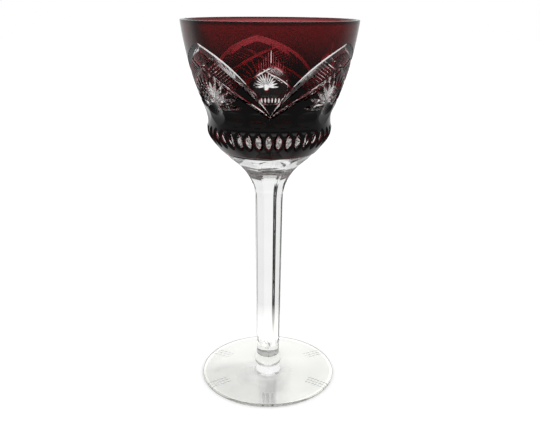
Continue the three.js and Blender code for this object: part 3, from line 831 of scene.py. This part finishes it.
# Colour of a millimetre of ruby, and its square root, which is what each of its two faces lets through
RUBY = (0.0058, 0.0000005, 0.0000012, 1)
RUBY_HALF = (0.0762, 0.000707, 0.0011, 1)


def quarter_round(past):
    """Depth of a ground and polished edge by the way past its start: the radius of a quarter round,
    less the root of the radius squared less the way squared."""
    past = np.clip(past, 0, CASING_ROUND)
    return CASING_ROUND - np.sqrt(CASING_ROUND ** 2 - past ** 2)


def skin_wall(cuts):
    """Wall number of the skin, as a function of place and height: GONE where a cut goes through it."""
    def wall_of(place, height):
        depth, wall = deepest(cuts, place, height)
        gone = (depth > skin(height) - THINNEST) | (height < casing_edge(place))
        return np.where(gone, GONE, wall)
    return wall_of


def by_thickness(tree, colour):
    """A colour to the power of the millimetres of ruby left at each point."""
    left = add_node(tree, "Attribute")
    left.attribute_name = "thickness"
    return add_node(tree, "Gamma", Color=colour, Gamma=left.outputs["Fac"]).outputs[0]


def ruby_materials():
    """Ruby glass, and the face where it is fused to the crystal and light goes straight through."""
    front, tree, output = new_material("ruby_overlay")
    shader, _ = glass_shader(tree, output, 70.0, 0.012 * MM, 0.02)
    tree.links.new(by_thickness(tree, RUBY), shader.inputs["Base Color"])
    back, tree, output = new_material("ruby_fused_face")
    shader = add_node(tree, "BsdfTransparent", Color=by_thickness(tree, RUBY_HALF))
    tree.links.new(shader.outputs[0], output.inputs["Surface"])
    return front, back


ruby_front, ruby_back = ruby_materials()


def casing(name, places, heights, field, cuts, ring):
    """A field of the skin: the cut front, a back on the crystal, and thin walls round its edge."""
    wall_of = skin_wall(cuts)
    grid, faces, walls = snapped_grid(places, heights, wall_of, ring)
    centre = grid[:, faces].mean(2)
    if ring:
        wraps = np.ptp(grid[0][faces], 1) > 180
        centre[0] = np.where(wraps, places[0], centre[0])
    keep = (walls < GONE) & (field_of(*centre) == field)
    faces, walls = faces[keep], walls[keep]
    used, faces = np.unique(faces, return_inverse=True)
    faces = faces.reshape(-1, 3)
    grid = grid[:, used]
    lip_round = quarter_round(grid[1] - (RIM_HEIGHT - CASING_ROUND))
    foot_round = quarter_round(casing_edge(grid[0]) + CASING_ROUND - grid[1])
    depth = np.maximum(deepest(cuts, *grid)[0], np.maximum(lip_round, foot_round))
    full = skin(grid[1])
    depth = np.minimum(depth, full - THINNEST)
    count = len(used)
    points = np.vstack([bowl_points(*grid, depth), bowl_points(*grid, full - SEAM)])
    edges = np.vstack([faces[:, [0, 1]], faces[:, [1, 2]], faces[:, [2, 0]]])
    keys = edges[:, 0] * count + edges[:, 1]
    lone = edges[~np.isin(keys, edges[:, 1] * count + edges[:, 0])]
    a, b = lone.T
    sides = np.vstack([np.stack([b, a, a + count], -1), np.stack([b, a + count, b + count], -1)])
    left = np.tile((full - depth) / MM, 2)
    all_faces = np.vstack([faces, faces[:, ::-1] + count, sides])
    kinds = np.concatenate([np.zeros(len(faces)), np.ones(len(faces)), np.zeros(len(sides))])
    all_walls = np.concatenate([walls, np.full(len(faces), BACK), np.full(len(sides), SIDE)])
    return make_piece(name, points, all_faces, [ruby_front, ruby_back], kinds, all_walls, left)


rim_rows = spaced(
    (BOWL_BASE + 21 * MM, BOWL_BASE + 55 * MM, 0.3 * MM),
    (BOWL_BASE + 55 * MM, RIM_HEIGHT - CASING_ROUND, 1.5 * MM),
    (RIM_HEIGHT - CASING_ROUND, RIM_HEIGHT, 0.1 * MM))
rim = casing(
    "ruby_rim_casing", ring_places((0, 11, 0.25), (11, HALF_REPEAT, 0.55)), rim_rows,
    RIM, (line_cuts, oculus_cut, ray_cuts), True)
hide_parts("ruby_rim")

waist_rows = spaced(
    (BOWL_BASE + 0.2 * MM, BOWL_BASE + 2 * MM, 0.2 * MM),
    (BOWL_BASE + 2 * MM, BOWL_BASE + 44 * MM, 0.42 * MM))
waist = casing(
    "ruby_waist_casing", ring_places((0, 28, 0.72), (28, HALF_REPEAT, 0.41)), waist_rows,
    WAIST, (line_cuts, fan_cuts, lens_cuts, facet_cuts, stroke_cuts), True)
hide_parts("ruby_waist")

BAND_PLACES = (0.1, 61, 0.24)
band_rows = spaced((BOWL_BASE + 22 * MM, BOWL_BASE + 50 * MM, 0.16 * MM))
for number in range(6):
    valley, side = REPEAT * (number // 2), 1 if number % 2 else -1
    band_places = np.sort(valley + side * np.arange(*BAND_PLACES))
    band = casing(
        f"ruby_band_{number + 1}_casing", band_places, band_rows,
        BAND, (line_cuts, oculus_cut, rib_cuts), False)
    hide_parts(f"ruby_band_{number + 1}")

DIAMOND_REACH = 18
diamond_rows = spaced((BOWL_BASE + 42 * MM, BOWL_BASE + 55 * MM, 0.2 * MM))
for number in range(3):
    peak = REPEAT * number + HALF_REPEAT
    diamond_places = np.arange(peak - DIAMOND_REACH, peak + DIAMOND_REACH, 0.3)
    diamond = casing(
        f"ruby_diamond_{number + 1}_casing", diamond_places, diamond_rows,
        DIAMOND, (line_cuts, hatch_cuts), False)
    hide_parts(f"ruby_diamond_{number + 1}")


# Stem
# Drawn from the bottom of the bowl and cut with eight flat flutes, which run out above the bead. It
# flares at its head, where the flutes open out under the bowl.
STEM_FOOT, STEM_HEAD = (corner[2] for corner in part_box("stem"))
STEM_RADIUS = (6.05 * MM, 7.25 * MM)
STEM_FLARE = 27 * MM
STEM_FLARE_POWER = 2.55
FLUTES = 8
FLAT_COLUMNS, ROD_COLUMNS = 8, 4
FLUTE_TURN = 5.5
FLUTE_CREST = 0.06
FLUTE_START = 9.5 * MM
FLUTE_RUNOUT = 4 * MM


def stem_flat(height):
    """Distance of the flats from the axis: an even taper, and a power curve over the flare."""
    up = height - STEM_FOOT
    length = STEM_HEAD - STEM_FOOT
    straight = STEM_RADIUS[0] + (STEM_RADIUS[1] - STEM_RADIUS[0]) * up / length
    flare = np.clip((up - length + STEM_FLARE) / STEM_FLARE, 0, 1)
    head = outer_radius(BOWL_BASE) - skin(BOWL_BASE) * lean(BOWL_BASE)
    return straight + (head - STEM_RADIUS[1]) * flare ** STEM_FLARE_POWER


def stem_surface():
    """Radius by azimuth and height: a flat over its cosine, but no more than the round rod, whose share
    over the flats fades out at the ends. Columns follow the ridges where flat and rod meet."""
    heights = spaced(
        (STEM_FOOT, STEM_FOOT + 14 * MM, 0.5 * MM), (STEM_FOOT + 14 * MM, STEM_HEAD - STEM_FLARE, 2 * MM),
        (STEM_HEAD - STEM_FLARE, STEM_HEAD - SEAM, 0.75 * MM))
    up = heights - STEM_FOOT
    left = 1 - up / (STEM_HEAD - STEM_FOOT)
    ends = smooth_step(up, FLUTE_START - FLUTE_RUNOUT, FLUTE_START) * smooth_step(left, 0, 0.03)
    crest = 1 + FLUTE_CREST * ends
    ridge = np.arccos(1 / crest)
    sector = np.pi / FLUTES
    flat_shares = np.linspace(-1, 1, FLAT_COLUMNS + 1)[:-1]
    rod_shares = np.linspace(0, 1, ROD_COLUMNS + 1)[:-1]
    columns = [ridge * share for share in flat_shares]
    columns += [ridge + (2 * sector - 2 * ridge) * share for share in rod_shares]
    angle = np.concatenate([np.array(columns) + 2 * sector * i for i in range(FLUTES)])
    local = (angle + sector) % (2 * sector) - sector
    radius = stem_flat(heights) * np.minimum(crest, 1 / np.cos(local))
    return angle.T + np.radians(FLUTE_TURN), radius.T, heights


stem_crystal = crystal_material("clear_crystal_stem", 160.0, 0.05 * MM, 0.03)


def revolved(name, angle, radius, height, ends, materials, end_kinds, walls=0,
             end_walls=(LOW_END, HIGH_END)):
    """A closed body from rings of angle, radius and height, with a wall number for each column. Its ends
    close at points on the axis, whose heights are in ends, and may be joints of another material."""
    rows, columns = radius.shape
    rings = np.arange(rows * columns).reshape(rows, columns)
    points = round_axis(radius, angle, np.broadcast_to(height, radius.shape)).reshape(-1, 3)
    points = np.vstack([points, [(0, 0, at) for at in ends]])
    side = tube_faces(rings)
    under = fan_faces(rings[0], rows * columns)[:, [1, 0, 2]]
    over = fan_faces(rings[-1], rows * columns + 1)
    kinds = np.repeat((0, *end_kinds), (len(side), columns, columns))
    side_walls = np.tile(np.broadcast_to(walls, columns), 2 * (rows - 1))
    all_walls = np.concatenate([side_walls, np.repeat(end_walls, columns)])
    return make_piece(name, points, np.vstack([side, under, over]), materials, kinds, all_walls)


stem_angle, stem_radius, stem_heights = stem_surface()
stem_walls = np.tile([0] * FLAT_COLUMNS + [1] * ROD_COLUMNS, FLUTES)
# The lower end of the stem is a grey milky disc: painted shade, a grey band across the foot of the stem.
stem_joint_painted_shade = hazy_material("stem_joint_painted_shade", (0.6, 0.6, 0.58, 1), 0.6)
stem = revolved("stem_crystal", stem_angle, stem_radius, stem_heights[:, None], stem_heights[[0, -1]],
                [stem_crystal, stem_joint_painted_shade], (1, 0), stem_walls)
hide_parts("stem")


# Bead
# A short solid bead of crystal, squashed between the foot and the stem while hot and fused to both.
BEAD_LOW, BEAD_HIGH = (corner[2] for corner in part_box("bead"))
BEAD_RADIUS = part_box("bead")[1][0]
BEAD_ENDS = (6.55 * MM, 6.05 * MM)
BEAD_COLUMNS = 96


def bead_body():
    """Radius by height: a straight line between its ends and a half sine of bulge over it."""
    share = np.linspace(0, 1, 25)
    ends = BEAD_ENDS[0] + (BEAD_ENDS[1] - BEAD_ENDS[0]) * share
    radius = ends + (BEAD_RADIUS - ends) * np.sin(np.pi * share) ** 0.8
    heights = BEAD_LOW + SEAM + (BEAD_HIGH - BEAD_LOW - 2 * SEAM) * share
    angle = np.arange(BEAD_COLUMNS) * 2 * np.pi / BEAD_COLUMNS
    radius = np.tile(radius[:, None], (1, BEAD_COLUMNS))
    return revolved("bead_crystal", angle, radius, heights[:, None], heights[[0, -1]],
                    [stem_crystal, fused], (1, 1))


bead = bead_body()
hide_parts("bead")


# Foot
# A thin crystal disc that rises to the bead, hollowed a little underneath so that it stands on a ring.
# Six groups of three short grooves are cut under its edge.
FOOT_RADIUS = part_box("foot")[1][0]
FOOT_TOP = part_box("foot")[1][2]
FOOT_EDGE = 1.6 * MM
FOOT_EDGE_DEPTH = 0.7 * MM
FOOT_DISH = 0.8 * MM
RESTING_RADIUS = 34.6 * MM
FOOT_SEAT = 7.25 * MM
FOOT_SWEEP = 2.3
FOOT_CUT_GROUPS = 6
FOOT_CUT_LENGTH = 11.5 * MM
FOOT_CUT_PITCH = 2.2 * MM
FOOT_CUT_INSET = 0.8 * MM
FOOT_CUT_DEPTH = 0.65 * MM
FOOT_CUT_SPREAD = 0.8
FOOT_ROWS_UNDER = (16, 48)
FOOT_ROWS_CHANGE = 0.66 * RESTING_RADIUS
FOOT_COLUMNS = 720

# The foot's material paints a grey outline of shade along its rim.
foot_crystal = crystal_material("clear_crystal_foot", 45.0, 0.05 * MM, 0.03, FOOT_RADIUS)


def foot_cut_depth(radius, azimuth):
    """Depth of the grooves: Vs along the middle of each group and on both sides of it, which fade out at
    their ends."""
    sector = 2 * np.pi / FOOT_CUT_GROUPS
    turn = (azimuth + sector / 2) % sector - sector / 2
    across = radius * np.sin(turn)
    along = radius * np.cos(turn)
    line = np.clip(np.round(across / FOOT_CUT_PITCH), -1, 1)
    share = (along - (FOOT_RADIUS - FOOT_CUT_INSET - FOOT_CUT_LENGTH)) / FOOT_CUT_LENGTH
    swell = np.clip(4 * share * (1 - share), 0, 1) ** 0.5
    aside = np.abs(across - line * FOOT_CUT_PITCH)
    return np.maximum(FOOT_CUT_DEPTH * swell - aside / FOOT_CUT_SPREAD, 0)


def foot_profile():
    """Outline of the foot from its middle underneath, round the edge, to the seat of the bead. Each
    point is [radius, height]; the edge is a half ellipse and the top is a power curve."""
    brim = FOOT_RADIUS - FOOT_EDGE_DEPTH
    inner = np.linspace(0.02 * RESTING_RADIUS, FOOT_ROWS_CHANGE, FOOT_ROWS_UNDER[0])
    outer = np.linspace(FOOT_ROWS_CHANGE, brim, FOOT_ROWS_UNDER[1])[1:]
    under = np.concatenate([inner, outer])
    dish = FOOT_DISH * np.clip(1 - (under / RESTING_RADIUS) ** 2, 0, 1)
    turn = np.linspace(0, np.pi, 12)
    edge = [FOOT_RADIUS - FOOT_EDGE_DEPTH * (1 - np.sin(turn)), FOOT_EDGE / 2 * (1 - np.cos(turn))]
    share = np.linspace(0, 1, 40)[1:]
    rise = FOOT_TOP - SEAM - FOOT_EDGE
    top = [brim + (FOOT_SEAT - brim) * share, FOOT_EDGE + rise * share ** FOOT_SWEEP]
    return np.vstack([np.stack([under, dish], -1), np.stack(edge, -1)[1:], np.stack(top, -1)])


def foot_body():
    """The outline turned about the axis, with the grooves sunk into its underside."""
    outline = foot_profile()
    angle = np.arange(FOOT_COLUMNS) * 2 * np.pi / FOOT_COLUMNS
    radius = np.tile(outline[:, :1], (1, FOOT_COLUMNS))
    under = np.arange(len(outline)) < sum(FOOT_ROWS_UNDER) - 2
    height = outline[:, 1:] + np.where(under[:, None], foot_cut_depth(radius, angle), 0)
    return revolved("foot_crystal", angle, radius, height, (FOOT_DISH, FOOT_TOP - SEAM),
                    [foot_crystal], (0, 0), end_walls=(0, HIGH_END))


foot = foot_body()
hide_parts("foot")


# Studio
# A white matt table under the glass, in an even white room. What the glass shows of the room depends on
# the direction: white behind it, and dark at the sides and in front where its faces turn or mirror it.
# Each list holds (degrees, brightness), with 0 behind the glass.
THROUGH = ((-180, 0.9), (-40, 0.95), (-25, 0.92), (-21, 0.02), (-12, 0.02), (-8, 1.0), (8, 1.0),
           (30, 0.93), (180, 0.9))
TURNED = ((-180, 0.03), (-110, 0.06), (-60, 0.6), (0, 0.85), (60, 0.5), (110, 0.04), (180, 0.03))
MIRRORED = ((-180, 0.1), (-95, 0.12), (-75, 0.3), (-58, 0.7), (0, 0.8), (58, 0.4), (90, 0.12), (180, 0.1))


def surroundings_group():
    """Brightness of the surroundings by the direction they lie in: what is seen straight through the
    glass, what its inner faces turn round, and what its surface mirrors."""
    group = bpy.data.node_groups.new("surroundings", "ShaderNodeTree")
    group.interface.new_socket("Direction", in_out="INPUT", socket_type="NodeSocketVector")
    taken, given = group.nodes.new("NodeGroupInput"), group.nodes.new("NodeGroupOutput")
    apart = add_node(group, "SeparateXYZ", Vector=taken.outputs[0]).outputs
    share = graded(group, calculated(group, "ARCTAN2", apart["X"], apart["Y"]), -np.pi, np.pi)
    for name, stops in (("Through", THROUGH), ("Turned", TURNED), ("Mirrored", MIRRORED)):
        group.interface.new_socket(name, in_out="OUTPUT", socket_type="NodeSocketFloat")
        ramp = group.nodes.new("ShaderNodeValToRGB")
        elements = ramp.color_ramp.elements
        elements[0].color = (*[stops[0][1]] * 3, 1)
        elements[1].color = (*[stops[-1][1]] * 3, 1)
        for at, level in stops[1:-1]:
            elements.new((at + 180) / 360).color = (level, level, level, 1)
        group.links.new(share, ramp.inputs[0])
        group.links.new(ramp.outputs[0], given.inputs[name])
    return group


surroundings = surroundings_group()


def seen_brightness(tree, direction, camera, diffuse, least_mirrored=0.0):
    """Brightness for each kind of ray: camera and diffuse rays get plain values, and what is mirrored is
    never darker than a given level. Towards the top it is white through the glass, and what is mirrored
    there darkens as it gets steeper."""
    levels = tree.nodes.new("ShaderNodeGroup")
    levels.node_tree = surroundings
    tree.links.new(direction, levels.inputs[0])
    path = tree.nodes.new("ShaderNodeLightPath").outputs
    upward = add_node(tree, "SeparateXYZ", Vector=direction).outputs["Z"]
    overhead = graded(tree, upward, 0.1, 0.3)
    turned = calculated(tree, "GREATER_THAN", path["Glossy Depth"], 0.5)
    through = mixed(tree, turned, levels.outputs["Through"], levels.outputs["Turned"])
    through = mixed(tree, overhead, through, 1.0)
    mirrored = calculated(tree, "MAXIMUM", levels.outputs["Mirrored"], least_mirrored)
    reflected = mixed(tree, overhead, mirrored, graded(tree, upward, 0.38, 0.58, 0.9, 0.12))
    value = mixed(tree, path["Is Glossy Ray"], diffuse, reflected)
    value = mixed(tree, path["Is Transmission Ray"], value, through)
    return mixed(tree, path["Is Camera Ray"], value, camera), path


def studio_world():
    """White for the camera and for diffuse light; by direction for what the glass shows."""
    world = bpy.data.worlds.new("studio")
    bpy.context.scene.world = world
    world.use_nodes = True
    tree = world.node_tree
    tree.nodes.clear()
    direction = tree.nodes.new("ShaderNodeTexCoord").outputs["Generated"]
    brightness, _ = seen_brightness(tree, direction, 1.0, 1.0)
    light = add_node(tree, "Background", Color=(1, 1, 1, 1), Strength=brightness)
    output = tree.nodes.new("ShaderNodeOutputWorld")
    tree.links.new(light.outputs[0], output.inputs[0])


def painted_shade_under_foot(tree, place):
    """Painted shade on the table under the foot, as its brightness: less in its front left quarter, in soft
    patches of painted shade, and least in a streaked strip in front, a painted shadow of the stem."""
    apart = add_node(tree, "SeparateXYZ", Vector=place).outputs
    # A streaked strip in front: the painted shadow of the stem.
    strip = graded(tree, calculated(tree, "ABSOLUTE", apart["X"]), 4 * MM, 5.2 * MM, 1.0, 0.0)
    front = graded(tree, apart["Y"], -13 * MM, -7 * MM, 1.0, 0.0)
    streaked = add_node(tree, "Mapping", Vector=place, Scale=(1, 0.04, 1)).outputs[0]
    streaks = add_node(tree, "TexNoise", Vector=streaked, Scale=420.0, Detail=1.0).outputs[0]
    dark = calculated(tree, "MULTIPLY", calculated(tree, "MULTIPLY", strip, front), streaks)
    # Soft cloudy patches: painted shade over the front left quarter.
    cloud = add_node(tree, "TexNoise", Vector=place, Scale=38.0, Detail=2.0, Distortion=0.6).outputs[0]
    patches = graded(tree, cloud, 0.5, 0.64, 0.45, 0.3)
    right = graded(tree, apart["X"], 3 * MM, 13 * MM)
    back = graded(tree, apart["Y"], -3 * MM, 7 * MM)
    ground = mixed(tree, calculated(tree, "MAXIMUM", right, back), patches, 0.62)
    return mixed(tree, dark, ground, 0.05)


def added_shaders(tree, a, b):
    """The sum of two shaders."""
    node = tree.nodes.new("ShaderNodeAddShader")
    feed(tree, node.inputs[0], a)
    feed(tree, node.inputs[1], b)
    return node.outputs[0]


def table_material():
    """A matt white table. It is lifted to white where it is seen, so that only the shadow shows on it,
    and is as bright as the surroundings where the glass shows it, away from the foot."""
    material, tree, output = new_material("table_white")
    place = tree.nodes.new("ShaderNodeTexCoord").outputs["Object"]
    away = length_of(tree, place)
    around = graded(tree, away, 300 * MM, 500 * MM, 0.13, 0.2)
    beneath = graded(tree, away, 20 * MM, 100 * MM, 0.6, 0.0)
    least = calculated(tree, "MAXIMUM", around, beneath)
    brightness, path = seen_brightness(tree, place, 0.3, 0.0, least)
    matt = add_node(tree, "BsdfDiffuse", Color=(0.8, 0.8, 0.8, 1)).outputs[0]
    glow = add_node(tree, "Emission", Color=(1, 1, 1, 1), Strength=brightness).outputs[0]
    # Seen through the foot, the table glows with the painted shade: soft patches and the stem's painted
    # shadow.
    near = add_node(tree, "Emission", Color=(1, 1, 0.95, 1), Strength=painted_shade_under_foot(tree, place)).outputs[0]
    plain = mixed_shaders(tree, path["Is Glossy Ray"], added_shaders(tree, matt, glow), glow)
    close = mixed_shaders(tree, path["Is Transmission Ray"], plain, added_shaders(tree, matt, near))
    turned = calculated(tree, "MULTIPLY", path["Glossy Depth"], 0.75)
    beside = calculated(tree, "MAXIMUM", turned, graded(tree, away, 40 * MM, 90 * MM))
    through = calculated(tree, "MULTIPLY", path["Is Transmission Ray"], beside, clamp=True)
    tree.links.new(mixed_shaders(tree, through, close, glow), output.inputs["Surface"])
    return material


def table():
    """A flat square, 6 m across, at the height that the glass rests on."""
    reach = 3.0
    corners = [(-reach, -reach, 0), (reach, -reach, 0), (reach, reach, 0), (-reach, reach, 0)]
    mesh = bpy.data.meshes.new("table")
    mesh.from_pydata(corners, [], [(0, 1, 2, 3)])
    mesh.materials.append(table_material())
    top = bpy.data.objects.new("table", mesh)
    bpy.context.scene.collection.objects.link(top)


studio_world()
table()

# Light crosses many faces of glass here, so its paths are long.
scene = bpy.context.scene
scene.view_settings.view_transform = "Standard"
scene.cycles.max_bounces = 32
scene.cycles.transmission_bounces = 32
scene.cycles.glossy_bounces = 16
scene.cycles.transparent_max_bounces = 64
